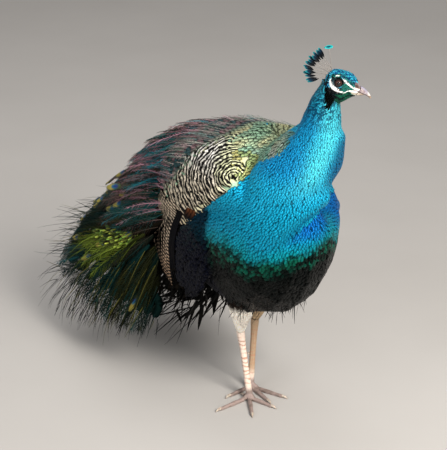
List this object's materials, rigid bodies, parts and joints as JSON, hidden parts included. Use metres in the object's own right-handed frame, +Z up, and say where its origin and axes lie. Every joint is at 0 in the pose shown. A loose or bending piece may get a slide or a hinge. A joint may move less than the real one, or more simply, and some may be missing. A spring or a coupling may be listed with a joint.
{
  "type": "peacock",
  "caption": "Life-size still peacock standing on both feet, head turned to its left, short train hanging over the tail.",
  "frame": {"origin": "on the floor under the middle of the whole outline", "axes": "+Z up, the bird's body faces -Y, its left side is +X"},
  "size_m": [0.3446, 1.0054, 0.8716],
  "materials": {
    "blue_plumage": "silky",
    "head_plumage": "velvety",
    "dark_plumage": "satin",
    "barred_plumage": "matt",
    "chestnut_plumage": "matt",
    "scaly_plumage": "metallic sheen",
    "train_plumage": "metallic sheen",
    "tail_plumage": "matt",
    "crest_plumage": "satin",
    "thigh_plumage": "matt",
    "leg_skin": "scaly",
    "horn": "horn",
    "bill_horn": "satin horn",
    "eye": "wet gloss"
  },
  "bodies": {
    "root": {"bill_lower": "bill_horn", "bill_upper": "bill_horn", "breast": "blue_plumage", "claw_left_hind": "horn", "claw_left_inner": "horn", "claw_left_middle": "horn", "claw_left_outer": "horn", "claw_right_hind": "horn", "claw_right_inner": "horn", "claw_right_middle": "horn", "claw_right_outer": "horn", "crest": "crest_plumage", "eye_left": "eye", "eye_right": "eye", "foot_left": "leg_skin", "foot_right": "leg_skin", "head": "head_plumage", "mantle": "scaly_plumage", "neck_lower": "blue_plumage", "neck_upper": "blue_plumage", "rump": "scaly_plumage", "spur_left": "horn", "spur_right": "horn", "tail": "tail_plumage", "tarsus_left": "leg_skin", "tarsus_right": "leg_skin", "thigh_left": "thigh_plumage", "thigh_right": "thigh_plumage", "toe_left_hind": "leg_skin", "toe_left_inner": "leg_skin", "toe_left_middle": "leg_skin", "toe_left_outer": "leg_skin", "toe_right_hind": "leg_skin", "toe_right_inner": "leg_skin", "toe_right_middle": "leg_skin", "toe_right_outer": "leg_skin", "train_front": "train_plumage", "train_middle": "train_plumage", "train_rear": "train_plumage", "train_tip": "train_plumage", "trunk": "dark_plumage", "undertail": "dark_plumage", "wing_left_coverts": "barred_plumage", "wing_left_primaries": "chestnut_plumage", "wing_left_secondaries": "dark_plumage", "wing_right_coverts": "barred_plumage", "wing_right_primaries": "chestnut_plumage", "wing_right_secondaries": "dark_plumage"}
  },
  "joints": []
}
